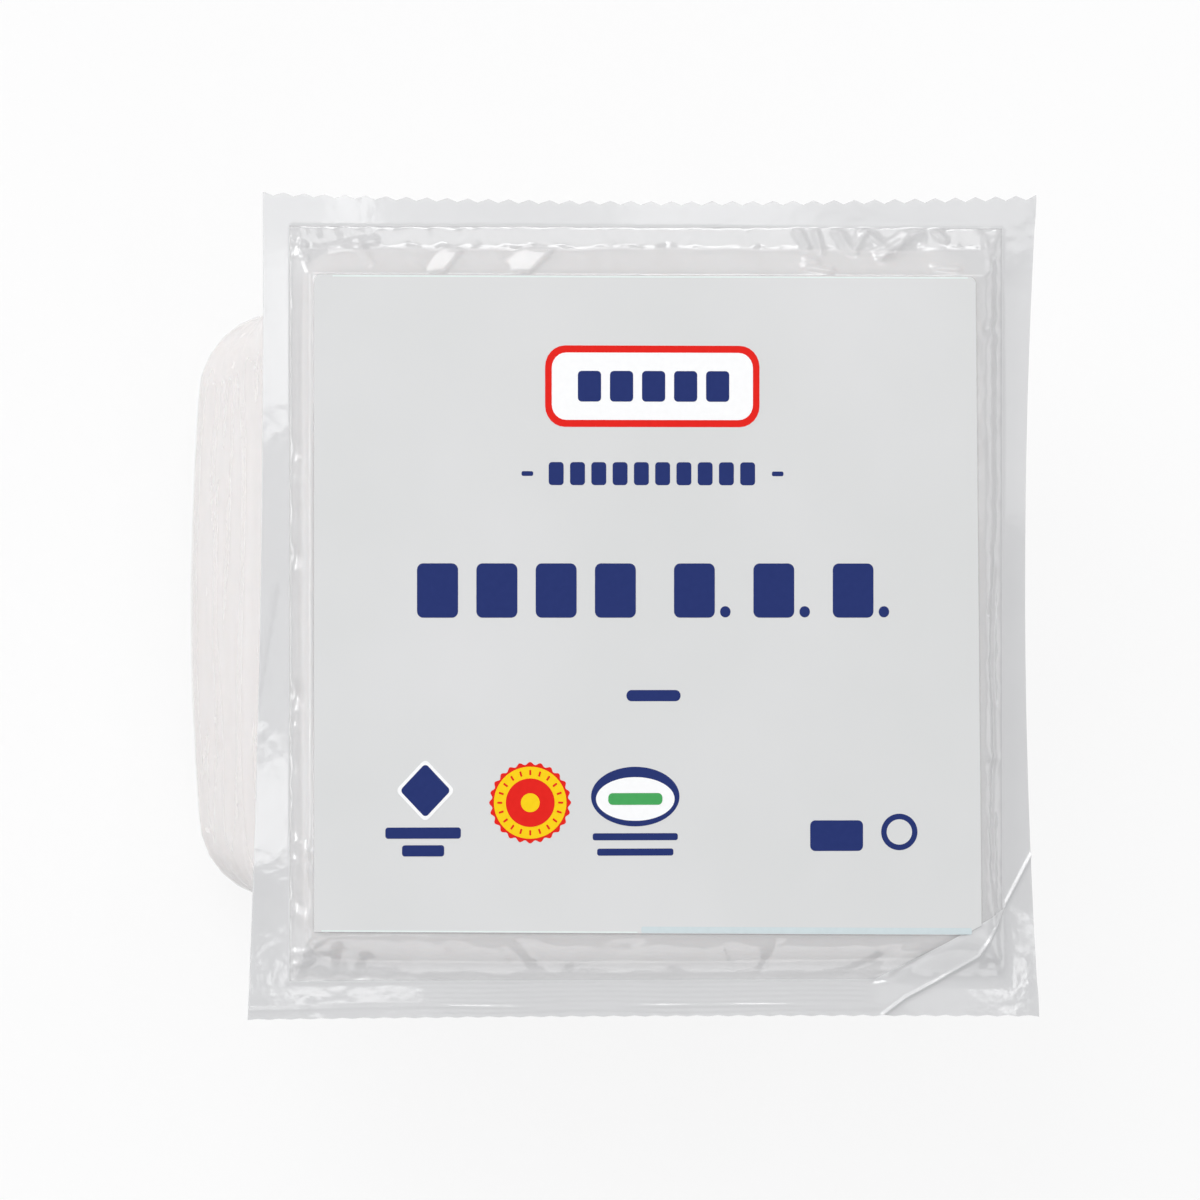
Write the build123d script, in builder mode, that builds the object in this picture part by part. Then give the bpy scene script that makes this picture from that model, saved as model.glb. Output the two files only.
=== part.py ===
"""A one kilogram block of feta in its sealed, deep-drawn vacuum pack, lying on its back.

The pack is three pieces. The filled tray is the clear lower web, drawn down into a pocket that the
vacuum has pulled tight onto the cheese, so it is solid out to the cheese's own rounded outline. The lid
film is the clear upper web. It is welded flat to the tray's rim, and rises over the front of the cheese.
The label is stuck to the lid, over the flat of the cheese's front.

Frame: +Z points up, out of the front of the pack. +Y points towards the edge with the deep saw cut. The
origin is the centre of the base, on the surface that the pack lies on. Millimetres.
"""

import math
import os

from build123d import *

os.makedirs("parts", exist_ok=True)

# ---- rim: both webs are cut out together, so they share this outline ---------------------------------
rim_width = 143.2  # X, over the two near corners
rim_length = 139.8  # Y, over the tips of both saw cuts
far_left_tuck = 2.7  # the far corners stand in from the near ones by this much
far_right_tuck = 0.5
left_pull_in = 0.9  # the vacuum draws the middle of each edge in from its corners
right_pull_in = 2.3
far_pull_in = 1.3
near_pull_in = 0.3
tooth_count = 38  # along each saw-cut edge
far_tooth_depth = 0.8
near_tooth_depth = 0.25

# ---- filled tray ------------------------------------------------------------------------------------
tray_depth = 70.0  # from the base up to the underside of the rim
tray_web = 0.25  # thickness of the rim's lower web
mouth_width = 122.8  # the cheese at the rim, over its corners
mouth_length = 120.4
mouth_corner_radius = 7.0
mouth_bulge = 0.4  # how far each side bows out between its corners
mouth_shift = -0.4  # along X
base_width = 114.4  # the cheese at the base, over its corners, before the base edge is rounded
base_length = 99.0
base_corner_radius = 15.0
base_bulge = 1.5
base_shift = -2.0  # the block has slid this far along X at its base
base_edge_radius = 15.0
base_edge_steps = 5
length_flare = 2.5  # the block keeps its base length low down and lengthens most near the rim
wall_steps = 7
corner_tightening = 0.7  # the plan corners lose this share of what the rounded base edge takes off a side

# ---- front of the cheese, which stands above the rim -------------------------------------------------
front_rise = 3.0  # from the underside of the rim to the flat of the front
front_end_slope = 3.7  # the front's two ends slope in by this much along Y
front_side_slope = 0.3  # and its two sides by this much along X
front_corner_radius = 5.0
front_edge_radius = 0.7

# ---- lid film and label -------------------------------------------------------------------------------
lid_thickness = 0.15
label_margin_side = 0.7  # from the edge of the front to the edge of the label
label_margin_end = 0.55
label_thickness = 0.12
label_corner_radius = 1.2
label_cut_x = 3.2  # the label's near right corner is cut off by this much along X
label_cut_y = 1.6  # and by this much along Y


def saw_cut(start, end, depth, pull_in):
    """Points of a toothed edge from start to end: teeth along a shallow curve that sags by pull_in."""
    (x_start, y_start), (x_end, y_end) = start, end
    inward = -math.copysign(1.0, y_start)
    points = []
    for step in range(2 * tooth_count + 1):
        along = step / (2 * tooth_count)
        sag = pull_in * (1 - (2 * along - 1) ** 2)
        notch = depth if step % 2 else 0.0
        x = x_start + (x_end - x_start) * along
        y = y_start + (y_end - y_start) * along + inward * (sag + notch)
        points.append((x, y))
    return points


def rim_outline():
    """The cut edge of both webs: two toothed ends and two long sides drawn in by the vacuum."""
    half_width = rim_width / 2
    half_length = rim_length / 2
    near_left = (-half_width, -half_length)
    near_right = (half_width, -half_length)
    far_left = (-half_width + far_left_tuck, half_length)
    far_right = (half_width - far_right_tuck, half_length)
    left_middle = ((near_left[0] + far_left[0]) / 2 + left_pull_in, 0)
    right_middle = ((near_right[0] + far_right[0]) / 2 - right_pull_in, 0)
    with BuildSketch() as outline:
        with BuildLine():
            Polyline(saw_cut(near_left, near_right, near_tooth_depth, near_pull_in))
            ThreePointArc(near_right, right_middle, far_right)
            Polyline(saw_cut(far_right, far_left, far_tooth_depth, far_pull_in))
            ThreePointArc(far_left, left_middle, near_left)
        make_face()
    return outline.sketch


def bowed_rectangle(width, length, bulge, corner_radius):
    """A rectangle over its corners, whose sides bow out by bulge, with its corners rounded."""
    x = width / 2
    y = length / 2
    with BuildSketch() as section:
        with BuildLine():
            ThreePointArc((-x, -y), (0, -y - bulge), (x, -y))
            ThreePointArc((x, -y), (x + bulge, 0), (x, y))
            ThreePointArc((x, y), (0, y + bulge), (-x, y))
            ThreePointArc((-x, y), (-x - bulge, 0), (-x, -y))
        make_face()
        fillet(section.vertices(), corner_radius)
    return section.sketch


def blend(low, high, share):
    """The value that lies this share of the way from low to high."""
    return low + (high - low) * share


def pocket_section(height):
    """The cheese's outline at a height above the base, and its shift along X, for the pocket's loft."""
    share = height / tray_depth
    inset = 0.0
    if height < base_edge_radius:
        below = base_edge_radius - height
        inset = base_edge_radius - math.sqrt(base_edge_radius**2 - below**2)
    width = blend(base_width, mouth_width, share) - 2 * inset
    length = blend(base_length, mouth_length, share**length_flare) - 2 * inset
    bulge = blend(base_bulge, mouth_bulge, share)
    corner_radius = blend(base_corner_radius, mouth_corner_radius, share) - corner_tightening * inset
    return bowed_rectangle(width, length, bulge, corner_radius), blend(base_shift, mouth_shift, share)


def raised_front(clearance):
    """The rise of the front above the rim's lower web, grown by clearance on its sides and its top."""
    foot = tray_depth + tray_web
    with BuildPart() as rise:
        with BuildSketch(Plane((mouth_shift, 0, foot))):
            add(bowed_rectangle(mouth_width + 2 * clearance, mouth_length + 2 * clearance,
                                mouth_bulge, mouth_corner_radius + clearance))
        with BuildSketch(Plane((mouth_shift, 0, tray_depth + front_rise + clearance))):
            add(bowed_rectangle(mouth_width - 2 * front_side_slope + 2 * clearance,
                                mouth_length - 2 * front_end_slope + 2 * clearance,
                                mouth_bulge, front_corner_radius + clearance))
        loft(ruled=True)
        fillet(rise.edges().group_by(Axis.Z)[-1], front_edge_radius + clearance)
    return rise.part


# ---- filled tray: the lower web and the cheese that fills it -------------------------------------------
with BuildPart() as filled_tray:
    edge_heights = [
        base_edge_radius * (1 - math.cos(math.pi / 2 * step / base_edge_steps))
        for step in range(base_edge_steps + 1)
    ]
    wall_heights = [
        blend(base_edge_radius, tray_depth, step / wall_steps) for step in range(1, wall_steps + 1)
    ]
    for height in edge_heights + wall_heights:
        section, shift = pocket_section(height)
        with BuildSketch(Plane((shift, 0, height))):
            add(section)
    loft(ruled=True)
    with BuildSketch(Plane.XY.offset(tray_depth)):
        add(rim_outline())
    extrude(amount=tray_web)
    add(raised_front(0))
filled_tray.part.label = "filled_tray"
export_step(filled_tray.part, "parts/filled_tray.step")

# ---- lid film: flat on the rim, and a skin over the raised front ---------------------------------------
with BuildPart() as lid_film:
    with BuildSketch(Plane.XY.offset(tray_depth + tray_web)):
        add(rim_outline())
    extrude(amount=lid_thickness)
    add(raised_front(lid_thickness))
    add(raised_front(0), mode=Mode.SUBTRACT)
lid_film.part.label = "lid_film"
export_step(lid_film.part, "parts/lid_film.step")

# ---- label: a thin sheet on the flat of the lid, with one corner cut -----------------------------------
with BuildPart() as label:
    with BuildSketch(Plane((mouth_shift, 0, tray_depth + front_rise + lid_thickness))) as sheet:
        Rectangle(mouth_width - 2 * front_side_slope - 2 * label_margin_side,
                  mouth_length - 2 * front_end_slope - 2 * label_margin_end)
        near_right_corner = sheet.vertices().group_by(Axis.Y)[0].sort_by(Axis.X)[-1]
        near_side = sheet.edges().sort_by(Axis.Y)[0]
        chamfer(near_right_corner, label_cut_x, label_cut_y, reference=near_side)
        fillet(sheet.vertices().group_by(Axis.Y)[-1], label_corner_radius)
    extrude(amount=label_thickness)
label.part.label = "label"
export_step(label.part, "parts/label.step")
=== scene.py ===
"""A one kilogram block of feta in its clear, deep-drawn vacuum pack, lying on its back with the label up."""

import math

import bmesh
import bpy
from mathutils import Matrix, Vector, noise


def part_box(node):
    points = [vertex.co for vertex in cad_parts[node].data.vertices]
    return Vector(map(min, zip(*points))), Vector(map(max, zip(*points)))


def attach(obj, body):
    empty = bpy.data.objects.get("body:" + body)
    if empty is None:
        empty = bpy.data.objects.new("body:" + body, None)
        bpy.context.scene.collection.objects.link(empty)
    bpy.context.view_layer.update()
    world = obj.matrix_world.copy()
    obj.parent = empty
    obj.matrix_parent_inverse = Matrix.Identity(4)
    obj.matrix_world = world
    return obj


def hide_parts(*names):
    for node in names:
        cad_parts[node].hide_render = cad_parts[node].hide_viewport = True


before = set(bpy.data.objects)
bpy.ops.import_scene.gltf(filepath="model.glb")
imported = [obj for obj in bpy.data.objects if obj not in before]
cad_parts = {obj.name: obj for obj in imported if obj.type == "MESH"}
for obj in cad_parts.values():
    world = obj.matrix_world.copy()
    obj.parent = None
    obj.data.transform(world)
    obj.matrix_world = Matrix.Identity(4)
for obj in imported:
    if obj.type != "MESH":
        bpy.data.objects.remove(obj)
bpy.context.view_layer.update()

# ------------------------------------------------------------------------------
# The block of cheese. Brined feta, cut to size, slid into the pocket and pressed by the vacuum: its
# corners are rounded, its walls bow out a little, and its front stands a few millimetres above the rim.
# Lengths in this section and the next ones are in millimetres, in the frame of the CAD model.
MM = 0.001
rim_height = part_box("lid_film")[0][2] / MM
front_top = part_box("filled_tray")[1][2] / MM

mouth_half = (61.4, 60.2)  # half the block's width and length at the rim, over its corners
base_half = (57.2, 49.5)  # and at its base
mouth_corner = 7.0
base_corner = 15.0
mouth_bow = 0.4  # how far each side bows out between its corners
base_bow = 1.5
mouth_shift = -0.4  # along X
base_shift = -2.0
base_edge = 15.0  # radius of the rounded edge between the base and the walls
corner_tightening = 0.7
length_flare = 2.5
front_shoulder = (1.0, 6.5)  # how far the front's sides and ends draw in as they rise
front_corner = 5.0

cheese_counts = (96, 84, 14)  # segments per end, side and corner
film_gap = 0.3  # between the cheese and the film's outer face
shoulder_foot = rim_height - 0.4
cheese_top = front_top - 0.2
shoulder_steps = 8


def share_of(low, high, share):
    """The value that lies this share of the way from low to high."""
    return low + (high - low) * share


def waver(a, b, c):
    """Smooth noise at a place, from about -1 to 1."""
    return noise.noise(Vector((a, b, c)))


def bowed_ring(half, corner, bow, shift, counts):
    """Points round a rectangle with rounded corners and sides that bow out; counts are segments per end,
    side and corner. It starts at the near left corner's far end and runs along the near end."""
    half_x, half_y = half
    per_end, per_side, per_corner = counts
    flat_x = half_x - corner
    flat_y = half_y - corner
    points = []
    for turn, (along, per_run) in enumerate([(flat_x, per_end), (flat_y, per_side)] * 2):
        out = half_y if turn % 2 == 0 else half_x
        angle = math.pi / 2 * turn
        cos, sin = math.cos(angle), math.sin(angle)
        run = []
        for step in range(per_run):
            s = 2 * step / per_run - 1
            run.append((s * along, -out - bow * (1 - s * s)))
        for step in range(per_corner):
            a = math.pi / 2 * step / per_corner
            run.append((along + corner * math.sin(a), -out + corner - corner * math.cos(a)))
        points += [(x * cos - y * sin + shift, x * sin + y * cos) for x, y in run]
    return points


def block_ring(height, grow, counts):
    """The outline of the block at a height above the base, grown outwards by a small amount."""
    share = min(height / rim_height, 1.0)
    inset = 0.0
    if height < base_edge:
        inset = base_edge - math.sqrt(max(base_edge**2 - (base_edge - height) ** 2, 0.0))
    half_x = share_of(base_half[0], mouth_half[0], share) - inset + grow
    half_y = share_of(base_half[1], mouth_half[1], share**length_flare) - inset + grow
    corner = share_of(base_corner, mouth_corner, share) - corner_tightening * inset + grow
    bow = share_of(base_bow, mouth_bow, share)
    return bowed_ring((half_x, half_y), corner, bow, share_of(base_shift, mouth_shift, share), counts)


def pocket_levels(edge_steps, wall_steps, top):
    """Heights for rings round the pocket: along the base's rounded edge, then evenly up the wall."""
    edge = [base_edge * (1 - math.cos(math.pi / 2 * step / edge_steps)) for step in range(edge_steps + 1)]
    return edge + [share_of(base_edge, top, step / wall_steps) for step in range(1, wall_steps + 1)]


def skin_over(rings, capped):
    """A mesh over closed rings of places in millimetres, with a face in its first ring and, if it is
    capped, one in its last."""
    mesh = bmesh.new()
    ring = bmesh.ops.create_circle(mesh, segments=len(rings[0]), radius=1.0, cap_ends=False)["verts"]
    for vert, place in zip(ring, rings[0]):
        vert.co = Vector(place) * MM
    mesh.faces.new(ring)
    for places in rings[1:]:
        edges = [mesh.edges.get((ring[i - 1], ring[i])) for i in range(len(ring))]
        made = set(g for g in bmesh.ops.extrude_edge_only(mesh, edges=edges)["geom"]
                   if isinstance(g, bmesh.types.BMVert))
        new_ring = []
        for vert, place in zip(ring, places):
            partner = next(e.other_vert(vert) for e in vert.link_edges if e.other_vert(vert) in made)
            partner.co = Vector(place) * MM
            new_ring.append(partner)
        ring = new_ring
    if capped:
        mesh.faces.new(ring)
    bmesh.ops.recalc_face_normals(mesh, faces=mesh.faces)
    return mesh


def crumb(point):
    """How far the cut, pressed curd stands in or out at a point: long soft swells and short open pits."""
    swell = 0.16 * waver(point.x / 11, point.y / 17, point.z / 7)
    grain = 0.05 * noise.noise(point / 2.3)
    pit = waver(point.x / 3.1 + 7.0, point.y / 5.3 + 3.0, point.z / 2.2 + 1.0)
    return swell + grain - 0.5 * max(pit - 0.42, 0.0)


def curd_place(place):
    """A place moved in or out by the crumb, unless it is on the flat of the front."""
    point = Vector(place)
    if point.z > cheese_top - 0.1:
        return point
    outward = Vector((point.x - mouth_shift, point.y, 0.0)).normalized()
    return point + outward * min(crumb(point), 0.1)


def add_piece(name, mesh, materials):
    """Puts a finished bmesh into the scene as a smooth piece with crisp cut edges, riding on the pack."""
    for edge in mesh.edges:
        edge.smooth = not edge.is_boundary
    data = bpy.data.meshes.new(name)
    mesh.to_mesh(data)
    mesh.free()
    for material in materials:
        data.materials.append(material)
    data.shade_smooth()
    piece = bpy.data.objects.new(name, data)
    bpy.context.scene.collection.objects.link(piece)
    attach(piece, "root")
    return piece


foot = block_ring(0.0, -film_gap, cheese_counts)
cheese_rings = [[(x * shrink, y * shrink, film_gap) for x, y in foot]
                for shrink in (0.04, 0.2, 0.4, 0.6, 0.8)]
for level in pocket_levels(14, 44, shoulder_foot):
    ring = block_ring(level, -film_gap, cheese_counts)
    cheese_rings.append([(x, y, max(level, film_gap)) for x, y in ring])
for step in range(1, shoulder_steps + 1):
    a = math.pi / 2 * step / shoulder_steps
    half = [full - film_gap - drawn_in * (1 - math.cos(a))
            for full, drawn_in in zip(mouth_half, front_shoulder)]
    corner = share_of(mouth_corner, front_corner, step / shoulder_steps)
    z = share_of(shoulder_foot, cheese_top, math.sin(a))
    ring = bowed_ring(half, corner, mouth_bow, mouth_shift, cheese_counts)
    cheese_rings.append([(x, y, z) for x, y in ring])
cheese_rings += [[(x * shrink, y * shrink, cheese_top) for x, y in ring]
                 for shrink in (0.85, 0.6, 0.35, 0.05)]
curd_rings = cheese_rings[:1]
curd_rings += [[curd_place(place) for place in places] for places in cheese_rings[1:]]
cheese_mesh = skin_over(curd_rings, capped=True)


def new_material(name):
    """A material with a node tree, its tree, and its Principled shader."""
    material = bpy.data.materials.new(name)
    material.use_nodes = True
    return material, material.node_tree, material.node_tree.nodes["Principled BSDF"]


def object_place(tree):
    """The socket that gives each point's place in its piece's own frame."""
    return tree.nodes.new("ShaderNodeTexCoord").outputs["Object"]


def noise_value(tree, place, scale, detail):
    """The value socket of a noise texture read at a place socket."""
    texture = tree.nodes.new("ShaderNodeTexNoise")
    texture.inputs["Scale"].default_value = scale
    texture.inputs["Detail"].default_value = detail
    tree.links.new(place, texture.inputs["Vector"])
    return texture.outputs["Fac"]


def colour_between(tree, value, low, low_colour, high, high_colour):
    """The colour socket of a ramp from one colour at low to another at high."""
    node = tree.nodes.new("ShaderNodeValToRGB")
    start, end = node.color_ramp.elements
    start.position = low
    start.color = (*low_colour, 1.0)
    end.position = high
    end.color = (*high_colour, 1.0)
    tree.links.new(value, node.inputs["Fac"])
    return node.outputs["Color"]


def relief(tree, height, strength, distance):
    """The normal socket of a bump whose height comes from a socket; distance is in metres."""
    bump = tree.nodes.new("ShaderNodeBump")
    bump.inputs["Strength"].default_value = strength
    bump.inputs["Distance"].default_value = distance
    tree.links.new(height, bump.inputs["Height"])
    return bump.outputs["Normal"]


cheese_finish, tree, shader = new_material("moist_feta")
place = object_place(tree)
drawn_out = tree.nodes.new("ShaderNodeMapping")
drawn_out.inputs["Scale"].default_value = (420.0, 45.0, 420.0)
tree.links.new(place, drawn_out.inputs["Vector"])
streaks = noise_value(tree, drawn_out.outputs["Vector"], 1.0, 5.0)
streak_colour = colour_between(tree, streaks, 0.30, (0.875, 0.84, 0.828), 0.62, (0.905, 0.885, 0.88))
tree.links.new(streak_colour, shader.inputs["Base Color"])
crumb_grain = noise_value(tree, place, 700.0, 6.0)
tree.links.new(relief(tree, crumb_grain, 0.35, 0.0004), shader.inputs["Normal"])
shader.inputs["Roughness"].default_value = 0.55
shader.inputs["Subsurface Weight"].default_value = 0.15
shader.inputs["Subsurface Radius"].default_value = (0.004, 0.003, 0.0025)
shader.inputs["Subsurface Scale"].default_value = 1.0

cheese = add_piece("cheese_block", cheese_mesh, [cheese_finish])
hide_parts("filled_tray")

# ------------------------------------------------------------------------------
# The formed tray. The clear lower web, drawn down warm into a pocket and pulled tight on the cheese, so
# that it creases along the walls and at the corners of the base. Its flat rim carries the lid.
rim_half = (71.6, 69.9)
far_left_tuck = 2.7  # the far corners stand in from the near ones by this much
far_right_tuck = 0.5
left_pull_in = 0.9  # the vacuum draws the middle of each edge in from its corners
right_pull_in = 2.3
far_pull_in = 1.3
near_pull_in = 0.3
tooth_count = 38  # along each saw-cut edge
far_tooth = 0.8
near_tooth = 0.25
weld_left, weld_right, weld_near, weld_far = -64.2, 64.8, -63.4, 64.2
weld_offset = 0.15  # the lid lies this far above the weld, and the tray's rim this far below it
neck_drop = 0.5  # the tray's rim starts this much lower, where it leaves the pocket
web_thickness = 0.12
film_counts = (152, 76, 6)


def ramp(start, end, value):
    """0 before start, 1 after end, and a smooth rise between them; start may be larger than end."""
    t = min(max((value - start) / (end - start), 0.0), 1.0)
    return t * t * (3 - 2 * t)


def bell(away, wide):
    """1 on a line, falling smoothly to 0 a few half-widths away from it."""
    return math.exp(-((away / wide) ** 2))


def cut_edge_x(side, y):
    """X of the long cut edge on one side of the rim, drawn in between its corners."""
    share = (y + rim_half[1]) / (2 * rim_half[1])
    drawn = 1 - (2 * share - 1) ** 2
    if side < 0:
        return -rim_half[0] + far_left_tuck * share + left_pull_in * drawn
    return rim_half[0] - far_right_tuck * share - right_pull_in * drawn


def cut_edge_y(side, x, toothed=True):
    """Y of the saw-cut edge at one end of the rim; its teeth are worn round on the left."""
    left = cut_edge_x(-1, side * rim_half[1])
    right = cut_edge_x(1, side * rim_half[1])
    share = min(max((x - left) / (right - left), 0.0), 1.0)
    drawn = 1 - (2 * share - 1) ** 2
    phase = share * tooth_count % 1.0
    worn = 0.65 * (0.5 - 0.5 * math.cos(2 * math.pi * phase))
    notch = share_of(worn, 1 - abs(2 * phase - 1), share) if toothed else 0.0
    if side > 0:
        return rim_half[1] - far_pull_in * drawn - far_tooth * notch
    return -rim_half[1] + near_pull_in * drawn + near_tooth * notch


def rim_wave(x, y):
    """How far the thin rim has curled up or down from flat."""
    reach = max(abs(x) - 61, abs(y) - 61, 0.0) / 9
    slow = waver(x / 33, y / 30, 2.0)
    quick = waver(x / 9, y / 8, 9.0)
    fine = waver(x / 2.2, y / 1.6, 4.0)
    crinkled = 0.8 * bell(math.hypot(x + 67, y - 66.5), 2.6)
    if x < weld_left:
        crinkled += bell(y - 27, 8) + bell(y + 19, 9)
    crinkle = waver(x / 1.5, y / 2.3, 7.0)
    return reach * (0.06 * slow + 0.014 * quick + 0.006 * fine + 0.022 * crinkled * crinkle)


def wall_crease(point, turn):
    """Height of the film's creases on the pocket's walls: long folds that run level round the block, and
    pleats at the corners of the base. Turn is the share of the way round."""
    level = point.z / 4.6 + 0.9 * waver(point.x / 26, point.y / 26, point.z / 12)
    fold = waver(turn * 7.0, level, 3.0)
    fine = waver(turn * 16.0, level * 2.6, 8.0)
    corner = ramp(34.0, 46.0, abs(point.y)) * ramp(34.0, 48.0, abs(point.x)) * ramp(26.0, 14.0, point.z)
    pleat = waver(turn * 95.0, point.z / 30, 5.0)
    return 0.42 * max(fold - 0.12, -0.1) + 0.07 * fine + 0.30 * corner * max(pleat, -0.3)


def cut_outline(counts):
    """Points round the cut edge of the film, in step with a ring of the pocket."""
    per_end, per_side, per_corner = counts
    long_run = per_side + 2 * per_corner
    points = []
    for side in (-1, 1):
        start = cut_edge_x(side, side * rim_half[1])
        end = cut_edge_x(-side, side * rim_half[1])
        for step in range(per_end):
            x = share_of(start, end, step / per_end)
            points.append((x, cut_edge_y(side, x)))
        for step in range(long_run):
            y = side * rim_half[1] * (1 - 2 * step / long_run)
            points.append((cut_edge_x(-side, y), y))
    return points


foot = block_ring(0.0, 0.0, film_counts)
film_rings = [[(x * shrink, y * shrink, 0.0) for x, y in foot] for shrink in (0.04, 0.3, 0.55, 0.8)]
for level in pocket_levels(12, 40, rim_height - 1.0):
    section = block_ring(level, 0.0, film_counts)
    creased = ramp(0.5, 6.0, level) * ramp(rim_height - 0.5, rim_height - 8.0, level)
    places = []
    for index, (x, y) in enumerate(section):
        point = Vector((x, y, level))
        outward = Vector((x - mouth_shift, y, 0.0)).normalized()
        places.append(point + outward * wall_crease(point, index / len(section)) * creased)
    film_rings.append(places)
mouth = block_ring(rim_height, 0.0, film_counts)
cut_ring = cut_outline(film_counts)
for share in (0.0, 0.12, 0.25, 0.4, 0.6, 0.8, 1.0):
    places = []
    for (mouth_x, mouth_y), (cut_x, cut_y) in zip(mouth, cut_ring):
        x = share_of(mouth_x, cut_x, share)
        y = share_of(mouth_y, cut_y, share)
        drop = weld_offset + neck_drop * ramp(0.2, 0.0, share)
        places.append((x, y, rim_height - drop + rim_wave(x, y)))
    film_rings.append(places)
tray_mesh = skin_over(film_rings, capped=False)
if min(tray_mesh.faces, key=lambda f: f.calc_center_median().length).normal.z > 0:
    bmesh.ops.reverse_faces(tray_mesh, faces=tray_mesh.faces)
flange_line = (rim_height - 0.9) * MM
for face in tray_mesh.faces:
    face.material_index = 1 if min(v.co.z for v in face.verts) > flange_line else 0


def shader_group(name, inputs, outputs):
    """A shader node group with sockets of the kinds given, and its input and output nodes."""
    group = bpy.data.node_groups.new(name, "ShaderNodeTree")
    for way, sockets in (("INPUT", inputs), ("OUTPUT", outputs)):
        for socket, kind in sockets.items():
            group.interface.new_socket(name=socket, socket_type="NodeSocket" + kind, in_out=way)
    return group, group.nodes.new("NodeGroupInput"), group.nodes.new("NodeGroupOutput")


def follow_mask(group, mask, first, second, leave, smoothest, roughest):
    """Ends a group: its Colour mixes two colour sockets by a mask, and its Roughness follows the mask."""
    tint = group.nodes.new("ShaderNodeMix")
    tint.data_type = "RGBA"
    for value, socket in ((mask, "Factor"), (first, "A"), (second, "B")):
        group.links.new(value, tint.inputs[socket])
    group.links.new(tint.outputs["Result"], leave.inputs["Colour"])
    sheen = group.nodes.new("ShaderNodeMapRange")
    sheen.inputs["To Min"].default_value = smoothest
    sheen.inputs["To Max"].default_value = roughest
    group.links.new(mask, sheen.inputs["Value"])
    group.links.new(sheen.outputs["Result"], leave.inputs["Roughness"])


def place_group(group, settings, tree, shader):
    """Places a group in a material with its own settings, and links its colour and roughness."""
    node = tree.nodes.new("ShaderNodeGroup")
    node.node_tree = group
    for socket, value in settings.items():
        node.inputs[socket].default_value = value
    tree.links.new(node.outputs["Colour"], shader.inputs["Base Color"])
    tree.links.new(node.outputs["Roughness"], shader.inputs["Roughness"])
    return node.outputs


# stretched, slightly clouded clear film: a cloudy colour, a roughness that follows it, and a ripple
film_haze, enter, leave = shader_group(
    "film_haze",
    {"Cloud Scale": "Float", "Ripple Scale": "Float", "Thin Colour": "Color", "Cloudy Colour": "Color"},
    {"Colour": "Color", "Roughness": "Float", "Ripple": "Float"})
place = object_place(film_haze)
cloud = noise_value(film_haze, place, 1.0, 3.0)
film_haze.links.new(enter.outputs["Cloud Scale"], cloud.node.inputs["Scale"])
follow_mask(film_haze, cloud, enter.outputs["Thin Colour"], enter.outputs["Cloudy Colour"], leave,
            0.02, 0.09)
ripple = noise_value(film_haze, place, 1.0, 2.0)
film_haze.links.new(enter.outputs["Ripple Scale"], ripple.node.inputs["Scale"])
film_haze.links.new(ripple, leave.inputs["Ripple"])


def film_finish(name, thin, cloudy, alpha, ior, ripple_scale, ripple_depth):
    """Clear glossy film with its own haze, see-through by one minus alpha."""
    material, tree, shader = new_material(name)
    settings = {"Cloud Scale": 60.0, "Ripple Scale": ripple_scale, "Thin Colour": (*thin, 1.0),
                "Cloudy Colour": (*cloudy, 1.0)}
    haze = place_group(film_haze, settings, tree, shader)
    tree.links.new(relief(tree, haze["Ripple"], 1.0, ripple_depth), shader.inputs["Normal"])
    shader.inputs["IOR"].default_value = ior
    shader.inputs["Alpha"].default_value = alpha
    return material


def give_thickness(piece, name, thickness):
    """Makes a sheet as thick as given, in millimetres, on its inner side."""
    wall = piece.modifiers.new(name, "SOLIDIFY")
    wall.thickness = thickness * MM


tight_film = film_finish("film_on_the_cheese", (0.86, 0.83, 0.82), (0.89, 0.875, 0.87),
                         0.35, 1.45, 260.0, 0.00004)
flange_film = film_finish("flange_film", (0.72, 0.72, 0.73), (0.78, 0.78, 0.79),
                          0.55, 1.6, 320.0, 0.00002)
formed_tray = add_piece("formed_tray", tray_mesh, [tight_film, flange_film])
give_thickness(formed_tray, "web", web_thickness)
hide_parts("filled_tray")

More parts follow.
